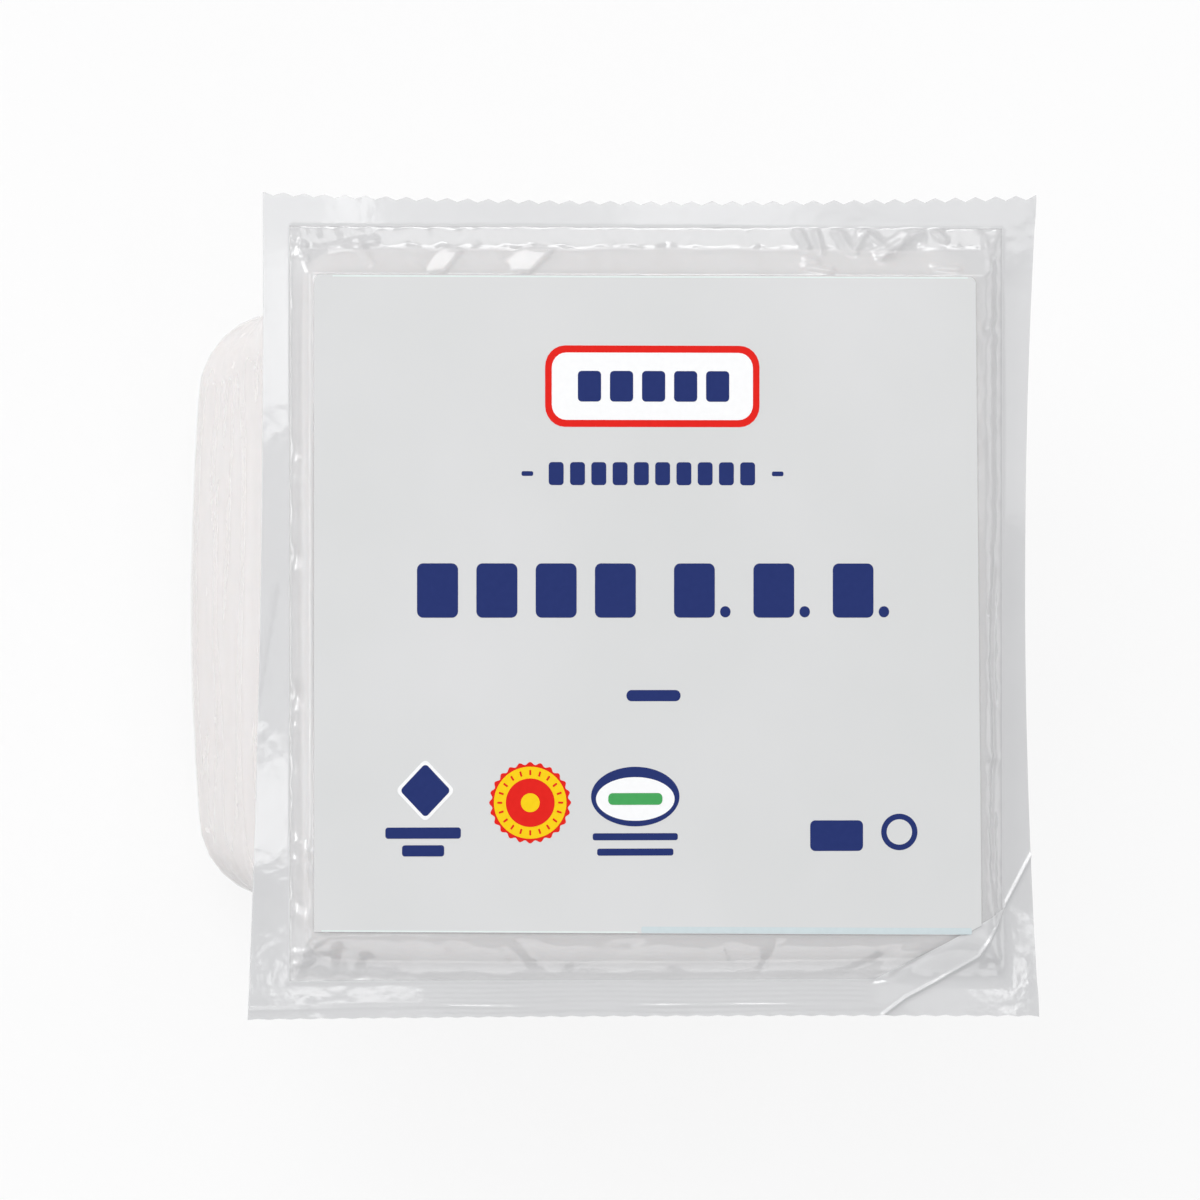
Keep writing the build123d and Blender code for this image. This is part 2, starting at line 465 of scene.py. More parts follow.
# ------------------------------------------------------------------------------
# The lid film. The clear upper web, welded flat to the tray's rim and sucked down round the front of the
# cheese, so that it pleats and creases in the narrow bands between the weld and the label.
lid_rise = front_top - rim_height
side_ledge = 0.176  # how steeply the left gutter rises, in millimetres to one
far_gutter = 0.24  # and the far one, from the weld to the outer edge of its bench
far_bench = 0.11  # and the bench
far_foot, far_flat = 64.1, 56.25  # where the far slope leaves the weld, and where it meets the flat
bead_width = 0.32  # half the width of the ridge that the sealing bar leaves along the weld
folds = [
    # folds of the film in the bands: (start x, y), (end x, y), height, half-width
    ((-57.6, 60.4), (-48.8, 61.8), 0.20, 0.8),
    ((-52.0, 61.0), (-50.5, 58.4), 0.35, 0.9),
    ((27.6, 63.8), (29.0, 61.0), 0.40, 0.6),
    ((30.8, 63.8), (31.4, 60.4), 0.40, 0.6),
    ((34.6, 64.0), (36.4, 60.6), 0.45, 0.8),
    ((37.6, 60.2), (39.6, 64.0), 0.45, 0.7),
    ((28.2, 57.6), (32.8, 57.0), 0.40, 0.6),
    ((28.6, 58.8), (30.4, 58.4), 0.35, 0.5),
    ((39.8, 63.6), (43.6, 60.2), 0.45, 0.9),
    ((42.6, 59.6), (49.0, 63.6), 0.55, 1.1),
    ((42.4, 59.4), (46.0, 61.6), 0.30, 0.8),
    ((52.6, 63.9), (54.2, 62.2), 0.40, 0.6),
    ((51.6, 57.6), (55.8, 57.3), 0.40, 0.5),
    ((61.4, 62.6), (62.2, 57.4), 0.20, 0.7),
    ((-64.2, 61.8), (-61.8, 61.0), 0.30, 0.5),
    ((-64.2, 59.2), (-61.8, 58.9), 0.30, 0.5),
    ((-63.8, -39.5), (-61.4, -42.5), 0.45, 0.9),
    ((-63.4, -43.0), (-61.2, -46.6), 0.45, 1.0),
    ((-63.9, -51.0), (-61.6, -53.4), 0.40, 0.9),
    ((-64.2, 20.5), (-62.4, 21.2), 0.25, 0.5),
    ((-64.2, 2.5), (-62.4, 1.8), 0.25, 0.5),
    ((-64.2, -20.5), (-62.4, -21.0), 0.25, 0.5),
    ((-58.8, -55.9), (-60.6, -57.2), 0.35, 0.5),
    ((-64.0, -60.8), (-60.6, -60.0), 0.40, 0.6),
    ((-63.8, -58.6), (-61.4, -58.4), 0.35, 0.5),
    # soft ones, pressed down on the cheese
    ((-63.0, -60.6), (-55.0, -58.6), -0.26, 1.5),
    ((-55.0, -58.6), (-48.0, -60.6), -0.26, 1.5),
    ((-24.0, -56.4), (-19.5, -60.6), -0.18, 1.2),
    ((-19.5, -60.6), (-17.6, -62.4), -0.12, 1.0),
    ((-13.0, -61.6), (-3.0, -58.0), -0.14, 1.6),
    ((23.0, -57.2), (21.0, -62.4), -0.14, 1.2),
    ((41.8, -60.0), (47.4, -57.2), -0.16, 0.9),
    ((36.0, -62.8), (41.8, -60.0), -0.16, 0.9),
]
slant_folds = [
    # film drawn flat across the shoulder in slanting stripes: (start x, y), (end x, y), width
    ((-33.0, 61.4), (-38.0, 56.0), 2.6),
    ((-16.6, 61.2), (-22.8, 56.0), 3.6),
    ((47.8, 63.9), (42.2, 59.6), 2.4),
]
# the long crease pulled across the near right corner, and the edge of the loose film inside it
pull_corner = [(70.6, -41.5), (66.2, -49.3), (63.9, -53.4), (59.7, -59.7), (53.0, -63.7), (47.2, -66.6),
               (43.2, -69.4)]
inner_corner = [(56.4, -55.9), (51.6, -58.6), (48.3, -60.8), (44.7, -63.1), (41.3, -63.6)]


def line_distance(x, y, start, end):
    """Distance from a point to a straight stretch."""
    ax, ay = start
    bx, by = end
    length = (bx - ax) ** 2 + (by - ay) ** 2
    t = min(max(((x - ax) * (bx - ax) + (y - ay) * (by - ay)) / length, 0.0), 1.0)
    return math.hypot(x - ax - t * (bx - ax), y - ay - t * (by - ay))


def path_distance(x, y, path):
    """Distance from a point to a broken line."""
    return min(line_distance(x, y, start, end) for start, end in zip(path, path[1:]))


def slope_up(start, end, value, rounding=0.35):
    """0 before start, 1 after end, and an even slope between them with more or less rounded ends."""
    t = min(max((value - start) / (end - start), 0.0), 1.0)
    return t - rounding * math.sin(2 * math.pi * t) / (2 * math.pi)


def clip(value, highest):
    """The value, kept between 0 and the highest allowed."""
    return min(max(value, 0.0), highest)


def left_slope(x, y):
    """Share of the lid's rise reached on the left: a gutter and a ledge, then one steep slope."""
    lip = 0.65 + 1.3 * max(waver(y / 6.0, 2.0, 6.0) - 0.05, 0.0)
    ledge_start, ledge_width, flat_start = -62.0, 0.7, -61.9
    gentle = side_ledge * (clip(x - weld_left, lip) + clip(x - ledge_start, ledge_width))
    steep = lid_rise - side_ledge * (lip + ledge_width)
    return (gentle + steep * slope_up(weld_left + lip, flat_start, x)) / lid_rise


def right_slope(x, y, softness):
    """Share of the lid's rise reached on the right: one dented slope, softer in the near corner."""
    dent = 0.8 * waver(9.0, y / 2.2, 3.0) * (1 - softness)
    return slope_up(weld_right - 0.1 + 1.8 * softness, 60.9 + dent, x, 0.35 + 0.6 * softness)


def pleat_point(x):
    """0 to 1 and back again and again along the pack, unevenly, where the film comes to small points."""
    return 1 - abs(2 * ((x / 5.8 + 0.5 * waver(x / 11, 7.0, 5.0)) % 1.0) - 1)


def bench_edges(x):
    """Y of the inner and the outer edge of the bench that runs along the far gutter."""
    inner = 60.5 + 0.4 * waver(x / 9, 0.0, 5.0)
    tall = 0.6 + waver(x / 8, 3.0, 5.0)
    return inner, inner + 0.5 + 1.1 * max(pleat_point(x) - 0.35, 0.0) * tall


def far_slope(x, y):
    """Share of the lid's rise reached at the far end: a wide gutter, a pointed bench and a scoop."""
    inner, outer = bench_edges(x)
    gentle = far_gutter * (far_foot - outer) + far_bench * (outer - inner)
    scoop = (lid_rise - gentle) / (inner - far_flat)
    height = far_gutter * clip(far_foot - y, far_foot - outer) + far_bench * clip(outer - y, outer - inner)
    return (height + scoop * clip(inner - y, inner - far_flat)) / lid_rise


def near_slope(x, y, softness):
    """Share of the lid's rise reached at the near end: one slope, pleated at its left foot."""
    pleated = ramp(-38.0, -46.0, x) * ramp(-63.5, -61.5, x)
    start = weld_near + 0.1 + (0.5 + 0.9 * max(pleat_point(x) - 0.3, 0.0)) * pleated - 1.8 * softness
    end = -56.1 + 0.105 * waver(x / 7.0, 4.0, 1.0)
    return slope_up(start, end, y, 0.35 + 0.6 * softness)


def lid_share(x, y):
    """Share of the lid's rise reached at a place: the lowest of the four slopes, rounded where two meet."""
    softness = ramp(-46.0, -57.0, y) * ramp(40.0, 54.0, x)
    across = min(left_slope(x, y), right_slope(x, y, softness))
    along = min(far_slope(x, y), near_slope(x, y, softness))
    lower = min(across, along)
    meeting = max(0.3 - abs(across - along), 0.0) / 0.3
    return lower - 0.3 * meeting * meeting * lower * (1 - lower)


def weld_ridge(x, y):
    """Height of the ridge that the sealing bar leaves along the weld, with small beads on the right."""
    if x > 42 and y < -50:
        return 0.0  # the film has come loose here
    ridge = 0.0
    if weld_left < x < weld_right:
        ridge += 0.06 * bell(y - weld_near, bead_width) + 0.02 * bell(y - weld_far, bead_width)
    if weld_near < y < weld_far:
        bead = 0.09 * max(waver(1.0, y / 0.9, 5.0), 0.0) * ramp(8.0, 16.0, y) * ramp(50.0, 42.0, y)
        ridge += (0.02 + bead) * bell(x - weld_right, bead_width)
    return ridge


def band_mask(x, y, share):
    """1 in the bands between the weld and the flat of the front, fading to 0 at both."""
    reach, flat_fade = 0.8, 0.10
    mask = slope_up(weld_left, weld_left + reach, x) * slope_up(weld_right, weld_right - reach, x)
    mask *= slope_up(weld_near, weld_near + reach, y) * slope_up(weld_far, weld_far - reach, y)
    return mask * clip((1 - share) / flat_fade, 1.0)


def puckers(x, y):
    """Small unevenness of the film, with its own grain and depth in each band."""
    height = 0.08 * waver(x / 1.9, y / 12, 3.0) * ramp(60.4, 61.6, y)
    height += 0.05 * waver(x / 4.0, y / 3.5, 8.0) * ramp(56.6, 58.0, y)
    height += 0.32 * waver(x / 11, y / 1.9, 6.0) * ramp(60.4, 62.0, x)
    height += 0.06 * waver(x / 3.0, y / 2.6, 6.0) * ramp(-61.2, -62.2, x)
    return height + 0.16 * waver(x / 5.5 + y / 8, y / 5, 7.0) * ramp(-56.2, -58.5, y)


def right_groove(x, y):
    """Depth of the wandering groove along the right band."""
    groove_x = 62.6 + 0.35 * math.sin(y / 5.0) + 0.3 * waver(0.0, y / 4, 2.0)
    return 0.45 * bell(x - groove_x, 0.45) * ramp(12.0, 4.0, y) * ramp(-50.0, -44.0, y)


def fold_height(x, y):
    """Height at a place of the film's folds."""
    height = 0.0
    for start, end, tall, wide in folds:
        if abs(x - (start[0] + end[0]) / 2) < 10 and abs(y - (start[1] + end[1]) / 2) < 8:
            height += tall * bell(line_distance(x, y, start, end), wide)
    return height


def stripe_lift(off, wide):
    """Profile across a slanting stripe: a short rise, one even slope down to its left, and a slow return."""
    high = 0.19 * wide
    if off < 0:
        return max(high * (1 + off / 0.9), 0.0)
    if off < wide:
        return high - 0.25 * off
    return min(high - 0.25 * wide + 0.07 * (off - wide), 0.0)


def stripe_height(x, y):
    """Height at a place of the slanting stripes, which start inside the far bench."""
    height = 0.0
    for start, end, wide in slant_folds:
        length = math.hypot(end[0] - start[0], end[1] - start[1])
        along_x = (end[0] - start[0]) / length
        along_y = (end[1] - start[1]) / length
        off = (x - start[0]) * along_y - (y - start[1]) * along_x
        run = (x - start[0]) * along_x + (y - start[1]) * along_y
        if -3 < run < length + 1 and -9 < off < 9:
            height += stripe_lift(off, wide)
    bench_start = bench_edges(x)[0]
    return height * ramp(bench_start + 0.1, bench_start - 0.5, y)


def rim_marks(x, y):
    """Height of the marks that the machine leaves on the rim: a raised line and fine ribs on the near end,
    and a row of short dashes on the left."""
    height = 0.05 * bell(y + 67.9 - 0.25 * math.sin(x / 9), 0.3) * ramp(46, 40, x)
    if y < weld_near and -42 < x < 44:
        rib = math.sin(7.4 * (y + 0.12 * math.sin(x / 6)) + 0.8 * waver(x / 16, y, 2.0))
        height += 0.019 * rib * ramp(-42, -34, x) * ramp(44, 36, x) * ramp(weld_near, weld_near - 0.8, y)
    if x < -64.5 and -18 < y < 4:
        dash = max(math.sin(2.9 * y), 0.0)
        height += 0.16 * dash * bell(x + 66.6 + 0.17 * (4 - y), 0.35)
    return height


def in_crease_corner(x, y):
    """Whether a place is in the near right corner, which the long crease crosses."""
    return x > 36 and y < -36


def front_height(x, y):
    """Height of the lid film above the surface that the pack lies on."""
    share = lid_share(x, y)
    height = rim_height + weld_offset + rim_wave(x, y)
    height += lid_rise * share + weld_ridge(x, y) + rim_marks(x, y)
    mask = band_mask(x, y, share)
    if mask > 0:
        height += mask * (puckers(x, y) + fold_height(x, y) + stripe_height(x, y)) - right_groove(x, y)
    if in_crease_corner(x, y):
        height += 0.36 * bell(path_distance(x, y, pull_corner), 0.34)
        height -= 0.16 * bell(path_distance(x, y, inner_corner), 0.5)
    return height


# the lid's grid, with its columns closest in the film's side bands, and its rows at the two ends
column_count = 8 * tooth_count
left_columns = 17
right_columns = 15
fine_columns = 18
fine_reach = 4.2


def column_x(column, y):
    """X of a column of the grid, in a row that isn't past either end weld."""
    inner = column - left_columns
    span = column_count - left_columns - right_columns
    if inner < 0:
        return share_of(cut_edge_x(-1, y), weld_left, column / left_columns)
    if inner > span:
        return share_of(cut_edge_x(1, y), weld_right, (column_count - column) / right_columns)
    if inner <= fine_columns:
        return weld_left + fine_reach * inner / fine_columns
    if inner >= span - fine_columns:
        return weld_right - fine_reach * (span - inner) / fine_columns
    middle = (inner - fine_columns) / (span - 2 * fine_columns)
    return share_of(weld_left + fine_reach, weld_right - fine_reach, middle)


def row_levels(start, end, step):
    """Even levels from start up to, but not including, end."""
    count = max(round((end - start) / step), 1)
    return [share_of(start, end, index / count) for index in range(count)]


rows = row_levels(-rim_half[1], weld_near, 0.2) + row_levels(weld_near, -55.5, 0.32)
rows += row_levels(-55.5, -40.0, 0.45) + row_levels(-40.0, 55.5, 0.8)
rows += row_levels(55.5, weld_far, 0.26) + row_levels(weld_far, rim_half[1], 0.42) + [rim_half[1]]
lid_mesh = bmesh.new()
bmesh.ops.create_grid(lid_mesh, x_segments=column_count, y_segments=len(rows) - 1, size=1.0)
for vert in lid_mesh.verts:
    column = round((vert.co.x + 1) / 2 * column_count)
    y = rows[round((vert.co.y + 1) / 2 * (len(rows) - 1))]
    x = column_x(column, y)
    side, weld_y = (-1, weld_near) if y < 0 else (1, weld_far)
    end_y = side * rim_half[1]
    beyond = max((y - weld_y) / (end_y - weld_y), 0.0)
    if beyond > 0:
        end_x = share_of(cut_edge_x(-1, end_y), cut_edge_x(1, end_y), column / column_count)
        x = share_of(x, end_x, beyond)
        plain = cut_edge_y(side, end_x, False)
        notch = cut_edge_y(side, end_x) - plain
        y = share_of(weld_y, plain, beyond) + notch * beyond**4
    vert.co = Vector((x, y, front_height(x, y))) * MM

# the flat under the label becomes one face
under_label = Vector((58.5, 54.4)) * MM
hidden = [f for f in lid_mesh.faces
          if all(abs(v.co.x) < under_label.x and abs(v.co.y) < under_label.y for v in f.verts)]
bmesh.ops.dissolve_faces(lid_mesh, faces=hidden)

# the near right corner is cut along the edge of the loose film, and made finer along the long crease
loose_x, loose_y = inner_corner[-1]
loose_slope = 0.51


def past_loose_line(place):
    """How far a place lies past the line where the film has come loose from the near right corner."""
    return loose_y + loose_slope * (place.x / MM - loose_x) - place.y / MM


on_loose_line = [f for f in lid_mesh.faces if loose_x < f.calc_center_median().x / MM < weld_right
                 and abs(past_loose_line(f.calc_center_median())) < 1.0]
parts = dict.fromkeys(part for face in on_loose_line for part in (face, *face.edges, *face.verts))
bmesh.ops.bisect_plane(lid_mesh, geom=list(parts), plane_co=(loose_x * MM, loose_y * MM, 0.0),
                       plane_no=(-loose_slope, 1.0, 0.0))
at_crease = []
for edge in lid_mesh.edges:
    start = edge.verts[0].co / MM
    if in_crease_corner(start.x, start.y) and path_distance(start.x, start.y, pull_corner) < 0.75:
        at_crease.append(edge)
bmesh.ops.subdivide_edges(lid_mesh, edges=at_crease, cuts=2, use_grid_fill=True)
for vert in lid_mesh.verts:
    x, y = vert.co.x / MM, vert.co.y / MM
    if in_crease_corner(x, y):
        vert.co.z = front_height(x, y) * MM


def face_up(mesh):
    """Turns all the faces of a sheet so that they point up."""
    bmesh.ops.recalc_face_normals(mesh, faces=mesh.faces)
    if sum(f.normal.z for f in mesh.faces) < 0:
        bmesh.ops.reverse_faces(mesh, faces=mesh.faces)


face_up(lid_mesh)
for face in lid_mesh.faces:
    middle = face.calc_center_median()
    over_x = weld_left < middle.x / MM < weld_right
    over_y = weld_near < middle.y / MM < weld_far
    face.material_index = 1 if over_x and over_y and past_loose_line(middle) < 0 else 0

rim_film = film_finish("welded_film", (0.78, 0.78, 0.785), (0.84, 0.84, 0.845),
                       0.72, 1.85, 320.0, 0.00002)
band_film = film_finish("film_over_the_front", (0.80, 0.795, 0.795), (0.85, 0.85, 0.85),
                        0.35, 2.2, 300.0, 0.00003)
lid = add_piece("lid_web", lid_mesh, [rim_film, band_film])
give_thickness(lid, "web", web_thickness)
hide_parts("lid_film")

# ------------------------------------------------------------------------------
# The label. A sheet of coated paper stuck on the flat of the lid, with two rounded corners and one cut
# one. It is a little out of square, so it is made square and then skewed.
label_low, label_high = [[v / MM for v in corner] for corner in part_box("label")]
label_lift = 0.12
label_radius = 1.2
label_cut = (3.2, 1.6)
label_skew = (1.1, 0.9)
label_strip = 1.6


def label_height(x, y):
    """Height of the label's printed face."""
    return front_height(x, y) + label_lift


def cut_into_strips(mesh, step):
    """Cuts a flat mesh along lines a step apart both ways, so that it can follow the film under it."""
    for axis, across in enumerate((Vector((1.0, 0.0, 0.0)), Vector((0.0, 1.0, 0.0)))):
        places = [v.co[axis] for v in mesh.verts]
        low, high = min(places), max(places)
        count = max(int((high - low) / step), 1)
        for index in range(1, count):
            bmesh.ops.bisect_plane(mesh, geom=mesh.verts[:] + mesh.edges[:] + mesh.faces[:],
                                   plane_co=across * share_of(low, high, index / count), plane_no=across)


label_mesh = bmesh.new()
bmesh.ops.create_grid(label_mesh, x_segments=1, y_segments=1, size=1.0)
for vert in label_mesh.verts:
    vert.co = Vector((label_low[0] if vert.co.x < 0 else label_high[0],
                      label_low[1] if vert.co.y < 0 else label_high[1], 0.0))
far_corners = [v for v in label_mesh.verts if v.co.y > 0]
bmesh.ops.bevel(label_mesh, geom=far_corners, offset=label_radius, segments=5, profile=0.5,
                affect="VERTICES", material=-1)
bmesh.ops.bisect_plane(label_mesh, geom=label_mesh.verts[:] + label_mesh.edges[:] + label_mesh.faces[:],
                       plane_co=(label_high[0], label_low[1] + label_cut[1], 0.0),
                       plane_no=(label_cut[1], -label_cut[0], 0.0), clear_outer=True)
cut_into_strips(label_mesh, label_strip)
for vert in label_mesh.verts:
    share_x = (vert.co.x - label_low[0]) / (label_high[0] - label_low[0])
    share_y = (vert.co.y - label_low[1]) / (label_high[1] - label_low[1])
    vert.co.x -= label_skew[0] * share_x * share_y
    vert.co.y += label_skew[1] * (1 - share_x) * (1 - share_y)
    vert.co = Vector((vert.co.x, vert.co.y, label_height(vert.co.x, vert.co.y))) * MM
face_up(label_mesh)

paper, tree, shader = new_material("coated_label_paper")
place = object_place(tree)
paper_cloud = noise_value(tree, place, 22.0, 3.0)
paper_colour = colour_between(tree, paper_cloud, 0.35, (0.70, 0.705, 0.70), 0.65, (0.735, 0.735, 0.735))
tree.links.new(paper_colour, shader.inputs["Base Color"])
fibre = noise_value(tree, place, 1400.0, 2.0)
tree.links.new(relief(tree, fibre, 0.3, 0.00002), shader.inputs["Normal"])
shader.inputs["Roughness"].default_value = 0.42

label = add_piece("label_sheet", label_mesh, [paper])
give_thickness(label, "stock", 0.1)
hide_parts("label")

# ------------------------------------------------------------------------------
# The print. Thin fields of ink on the label, in plain shapes: blocks where words would be, a framed
# panel, a diamond, a scalloped disc, an oval and a weight panel. Each is cut so that it lies on the paper.
ink_step = 0.02  # each layer of ink lies this far above the one under it
ink_thickness = 0.01
ink_strip = 3.0

# printing ink: a fine mottle that lightens the colour in specks, and a roughness that follows it
ink_mottle, enter, leave = shader_group(
    "ink_mottle", {"Ink": "Color", "Worn Ink": "Color"}, {"Colour": "Color", "Roughness": "Float"})
specks = noise_value(ink_mottle, object_place(ink_mottle), 900.0, 4.0)
follow_mask(ink_mottle, specks, enter.outputs["Ink"], enter.outputs["Worn Ink"], leave, 0.38, 0.55)


def ink(name, colour):
    """A printing ink of one colour, slightly uneven."""
    material, tree, shader = new_material(name)
    worn = [min(part * 1.12 + 0.004, 1.0) for part in colour]
    place_group(ink_mottle, {"Ink": (*colour, 1.0), "Worn Ink": (*worn, 1.0)}, tree, shader)
    shader.inputs["Specular IOR Level"].default_value = 0.15
    return material


navy = ink("navy_ink", (0.014, 0.028, 0.145))
red = ink("red_ink", (0.74, 0.012, 0.007))
yellow = ink("yellow_ink", (0.92, 0.60, 0.004))
white = ink("white_ink", (0.93, 0.93, 0.93))
green = ink("green_ink", (0.06, 0.36, 0.10))
sky = ink("pale_blue_ink", (0.60, 0.675, 0.695))
mint = ink("pale_mint_ink", (0.78, 0.85, 0.83))


def lay_print(name, mesh, material, layer):
    """Cuts a flat shape so that it follows the label, lays it on the paper and adds it as a piece."""
    cut_into_strips(mesh, ink_strip)
    for vert in mesh.verts:
        z = label_height(vert.co.x, vert.co.y) + ink_step * layer
        vert.co = Vector((vert.co.x, vert.co.y, z)) * MM
    face_up(mesh)
    piece = add_piece(name, mesh, [material])
    give_thickness(piece, "ink", ink_thickness)


def add_block(mesh, centre, size, radius, turn):
    """Adds a flat rectangle with rounded corners."""
    made = bmesh.ops.create_grid(mesh, x_segments=1, y_segments=1, size=0.5)["verts"]
    bmesh.ops.scale(mesh, verts=made, vec=(size[0], size[1], 1.0))
    made = bmesh.ops.bevel(mesh, geom=made, offset=radius, segments=6, profile=0.5, affect="VERTICES",
                           material=-1)["verts"]
    bmesh.ops.rotate(mesh, verts=made, cent=(0, 0, 0), matrix=Matrix.Rotation(turn, 3, "Z"))
    bmesh.ops.translate(mesh, verts=made, vec=(centre[0], centre[1], 0.0))


def print_blocks(name, material, layer, shapes, radius, turn=0.0):
    """One print piece of several rounded blocks, each given by its centre and its size."""
    mesh = bmesh.new()
    for x, y, width, height in shapes:
        add_block(mesh, (x, y), (width, height), min(radius, width / 2.05, height / 2.05), turn)
    lay_print(name, mesh, material, layer)


def print_disc(name, material, layer, centre, half_size, scallops=0, depth=0.0):
    """One print piece that is a disc or an oval, with scallops round its edge if asked."""
    mesh = bmesh.new()
    segments = max(72, scallops * 8)
    made = bmesh.ops.create_circle(mesh, segments=segments, radius=1.0, cap_ends=True)["verts"]
    for vert in made:
        angle = math.atan2(vert.co.y, vert.co.x)
        reach = 1.0 - depth * (0.5 - 0.5 * math.cos(scallops * angle))
        vert.co = Vector((centre[0] + vert.co.x * half_size[0] * reach,
                          centre[1] + vert.co.y * half_size[1] * reach, 0.0))
    lay_print(name, mesh, material, layer)


# the framed panel: a red frame round a white field, with a row of navy blocks
panel = (0.2, 37.2)
print_blocks("panel_frame", red, 1, [(*panel, 38.8, 13.8)], 3.6)
print_blocks("panel_field", white, 2, [(*panel, 36.4, 11.4)], 2.6)
print_blocks("panel_blocks", navy, 3, [(-11.2 + 5.8 * k, panel[1], 4.2, 5.2) for k in range(5)], 0.7)
# a line of small blocks with a dash at each end
small_y = 22.4
print_blocks("small_line", navy, 1, [(-17.2 + 3.85 * k, small_y, 2.7, 3.9) for k in range(10)], 0.6)
print_blocks("small_line_dashes", navy, 1, [(x, small_y, 2.1, 0.8) for x in (-22.4, 22.9)], 0.3)
# the heading: two groups of large blocks, one with dots, and a dash under them
heading_y = 2.6
heading = [(-38.6 + 10.7 * k, heading_y, 7.4, 9.2) for k in range(4)]
heading += [(7.8 + 14.4 * k, heading_y, 7.4, 9.2) for k in range(3)]
heading += [(13.4 + 14.4 * k, heading_y - 3.6, 1.9, 1.9) for k in range(3)]
print_blocks("heading_blocks", navy, 1, heading, 1.1)
print_blocks("heading_dash", navy, 1, [(0.4, -15.2, 9.8, 1.9)], 0.95)
# the diamond mark over two bars
diamond_at = (-40.8, -31.2)
print_blocks("diamond_field", white, 1, [(*diamond_at, 7.6, 7.6)], 0.9, math.pi / 4)
print_blocks("diamond", navy, 2, [(*diamond_at, 6.5, 6.5)], 0.7, math.pi / 4)
print_blocks("diamond_bars", navy, 1, [(-41.2, -38.4, 13.6, 1.9), (-41.2, -41.4, 7.6, 1.9)], 0.5)
# the scalloped disc: a yellow ring with short ticks, round a red centre
seal_at = (-21.9, -33.3)
print_disc("seal_disc", red, 1, seal_at, (7.4, 6.9), 24, 0.07)
print_disc("seal_ring", yellow, 2, seal_at, (6.55, 6.1))
ticks = bmesh.new()
for step in range(20):
    angle = 2 * math.pi * step / 20
    spot = (seal_at[0] + 5.5 * math.cos(angle), seal_at[1] + 5.1 * math.sin(angle))
    add_block(ticks, spot, (0.34, 0.9), 0.12, angle - math.pi / 2)
lay_print("seal_ticks", ticks, red, 3)
print_disc("seal_centre", red, 3, seal_at, (4.4, 4.1))
print_disc("seal_mark", yellow, 4, seal_at, (1.7, 1.6))
# the oval with a green bar, over two lines
print_disc("oval_rim", navy, 1, (-2.9, -32.3), (8.0, 5.05))
print_disc("oval_field", white, 2, (-2.9, -32.7), (7.1, 3.7))
print_blocks("oval_bar", green, 3, [(-2.9, -32.7, 9.8, 2.0)], 0.8)
print_blocks("oval_lines", navy, 1, [(-2.9, -39.1, 15.4, 1.2), (-2.9, -41.7, 13.8, 1.2)], 0.4)
# the weight panel: a bar and a ring
weight_ring_at = (45.0, -38.4)
print_blocks("weight_bar", navy, 1, [(33.6, -39.0, 9.6, 5.2)], 0.9)
print_disc("weight_ring", navy, 1, weight_ring_at, (3.3, 3.1))
print_disc("weight_ring_field", paper, 2, weight_ring_at, (2.3, 2.15))
# the pale lines along the label's skewed near edge and its far edge
edge_turn = -label_skew[1] / (label_high[0] - label_low[0])
print_blocks("near_edge_line", sky, 1, [(28.2, label_low[1] + 0.85, 60.0, 1.1)], 0.3, edge_turn)
print_blocks("near_edge_hairline", mint, 1, [(-31.0, label_low[1] + 0.87, 57.0, 0.22)], 0.1, edge_turn)
print_blocks("far_edge_hairline", mint, 1, [(0.0, label_high[1] - 0.2, 115.0, 0.24)], 0.1)

# ------------------------------------------------------------------------------
# The studio, in metres: a pale floor, a dim even surround, soft boxes that light the pack, and small
# bright cards that the film mirrors. The camera looks down on the pack, from a little to its left.
floor_finish, tree, shader = new_material("pale_floor")
shader.inputs["Base Color"].default_value = (0.86, 0.86, 0.86, 1.0)
shader.inputs["Roughness"].default_value = 0.9


def combine(tree, operation, first, second):
    """The value socket of a maths node that takes one value socket and another one or a number."""
    node = tree.nodes.new("ShaderNodeMath")
    node.operation = operation
    tree.links.new(first, node.inputs[0])
    if isinstance(second, float):
        node.inputs[1].default_value = second
    else:
        tree.links.new(second, node.inputs[1])
    return node.outputs["Value"]


# the floor shows as white to the camera and in gloss, and still takes the pack's shadow
rays = tree.nodes.new("ShaderNodeLightPath").outputs
seen = combine(tree, "MAXIMUM", rays["Is Camera Ray"], rays["Is Glossy Ray"])
seen = combine(tree, "MAXIMUM", seen, rays["Is Transmission Ray"])
glow_share = combine(tree, "MULTIPLY", seen, 0.85)
white_glow = tree.nodes.new("ShaderNodeEmission")
blend_floor = tree.nodes.new("ShaderNodeMixShader")
tree.links.new(glow_share, blend_floor.inputs["Fac"])
tree.links.new(shader.outputs["BSDF"], blend_floor.inputs[1])
tree.links.new(white_glow.outputs["Emission"], blend_floor.inputs[2])
tree.links.new(blend_floor.outputs["Shader"], tree.nodes["Material Output"].inputs["Surface"])
floor_mesh = bmesh.new()
bmesh.ops.create_grid(floor_mesh, x_segments=1, y_segments=1, size=6.0)
floor_data = bpy.data.meshes.new("floor")
floor_mesh.to_mesh(floor_data)
floor_mesh.free()
floor_data.materials.append(floor_finish)
floor = bpy.data.objects.new("floor", floor_data)
bpy.context.scene.collection.objects.link(floor)

world = bpy.data.worlds.new("surround")
bpy.context.scene.world = world
world.use_nodes = True
surround = world.node_tree.nodes["Background"]
surround.inputs["Color"].default_value = (0.97, 0.98, 1.0, 1.0)
surround.inputs["Strength"].default_value = 0.48


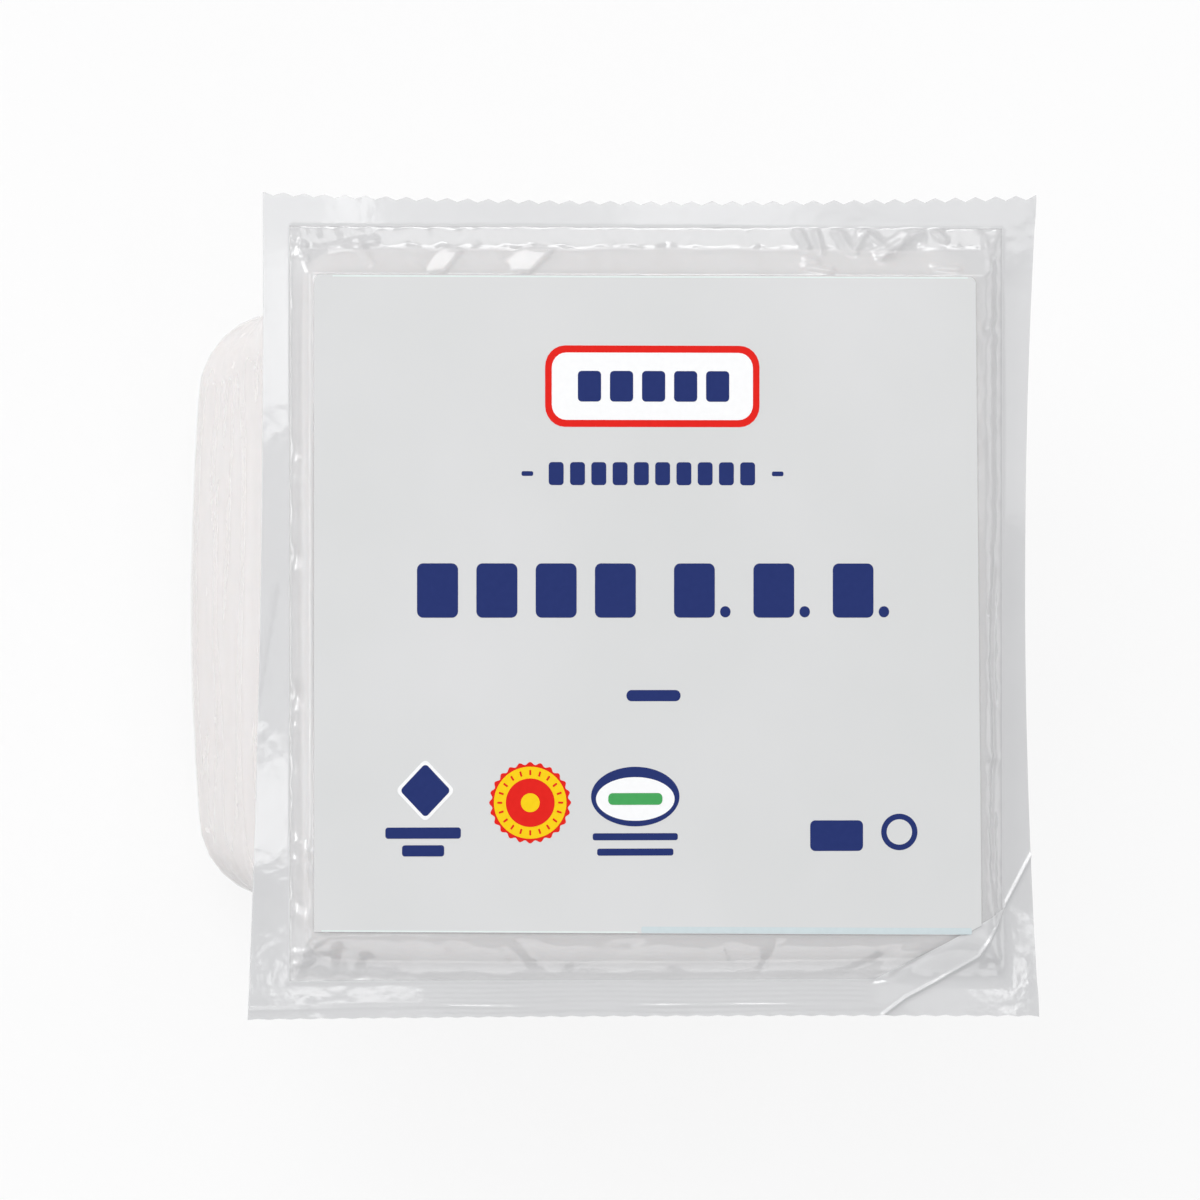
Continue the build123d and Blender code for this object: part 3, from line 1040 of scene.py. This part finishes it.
def soft_box(name, place, aim, size, radiance):
    """A rectangular light at a place, turned to shine at a point, as bright as its radiance."""
    data = bpy.data.lights.new(name, "AREA")
    data.shape = "RECTANGLE"
    data.size, data.size_y = size
    data.energy = radiance * math.pi * size[0] * size[1]
    lamp = bpy.data.objects.new(name, data)
    lamp.location = place
    lamp.rotation_euler = (Vector(aim) - Vector(place)).to_track_quat("-Z", "Y").to_euler()
    lamp.visible_camera = False
    bpy.context.scene.collection.objects.link(lamp)


soft_box("key", (-1.8, 1.8, 2.6), (0.0, 0.0, 0.03), (1.8, 1.8), 4.38)
soft_box("side", (-2.7, 1.0, 0.8), (0.0, 0.0, 0.04), (1.4, 1.0), 7.6)
soft_box("near_fill", (0.3, -2.62, 2.08), (0.0, 0.0, 0.05), (2.2, 1.6), 1.25)
soft_box("right_fill", (1.6, 0.0, 0.3), (0.0, 0.0, 0.05), (0.8, 0.6), 1.2)
soft_box("far_strip", (-0.24, 1.2, 1.03), (0.0, 0.05, 0.07), (0.45, 0.22), 5.0)
soft_box("far_low_box", (0.13, 1.43, 0.81), (0.0, 0.05, 0.07), (0.44, 0.40), 2.3)
soft_box("ridge_box", (0.56, 0.50, 1.46), (0.0, 0.06, 0.07), (0.20, 0.18), 5.0)
soft_box("edge_strip", (-0.06, 0.0, 1.25), (-0.06, 0.0, 0.07), (0.07, 0.55), 3.6)
soft_box("pleat_box", (0.55, 0.80, 1.36), (0.0, 0.06, 0.07), (0.40, 0.28), 1.8)

tilt = math.radians(20.5)
toward_camera = Vector((-math.sin(tilt), 0.0, math.cos(tilt)))
image_right = Vector((math.cos(tilt), 0.0, math.sin(tilt)))
card_distance = 0.4


def card(name, low, high, radiance):
    """A bright card that the rim's film mirrors to the camera between two corners, in millimetres."""
    x = (low[0] + high[0]) / 2
    y = (low[1] + high[1]) / 2
    reach = 2.0
    slope_x = (rim_wave(x + reach, y) - rim_wave(x - reach, y)) / (2 * reach)
    slope_y = (rim_wave(x, y + reach) - rim_wave(x, y - reach)) / (2 * reach)
    facing = Vector((-slope_x, -slope_y, 1.0)).normalized()
    mirror_way = facing * (2 * facing.dot(toward_camera)) - toward_camera
    middle = Vector((x, y, rim_height)) * MM
    size = ((high[1] - low[1]) * MM, (high[0] - low[0]) * MM)
    soft_box(name, middle + mirror_way * card_distance, middle, size, radiance)


card("far_left_card", (-82.0, 34.5), (-63.4, 61.5), 3.0)
card("far_corner_card", (-82.0, 61.5), (-62.4, 82.0), 2.0)
card("far_end_card", (-62.4, 61.0), (-53.0, 82.0), 3.0)
card("left_card", (-80.0, -22.0), (-64.0, 34.0), 0.5)
card("near_left_card", (-82.0, -49.0), (-64.0, -28.0), 3.0)
card("far_card", (-53.0, 62.0), (72.0, 82.0), 1.3)
card("far_middle_card", (-2.0, 62.0), (31.0, 82.0), 1.0)
card("right_card", (66.0, 16.0), (84.0, 60.0), 0.9)
card("near_card", (-70.0, -70.0), (-42.0, -63.6), 3.0)
card("near_right_card", (46.0, -76.0), (66.0, -58.0), 0.6)
card("corner_card", (67.8, -71.0), (72.4, -59.0), 4.4)

scene = bpy.context.scene
scene.view_settings.view_transform = "Standard"
camera_distance = 6.0
frame_width = 0.2034  # at the height of the rim
camera_data = bpy.data.cameras.new("camera")
camera_data.lens = camera_data.sensor_width * camera_distance / frame_width
camera = bpy.data.objects.new("camera", camera_data)
aim = Vector((0.0, 0.001, rim_height * MM)) - image_right * 0.00763
camera.location = aim + toward_camera * camera_distance
turn = Matrix((image_right, Vector((0.0, 1.0, 0.0)), toward_camera)).transposed()
camera.rotation_euler = turn.to_euler()
scene.collection.objects.link(camera)
scene.camera = camera
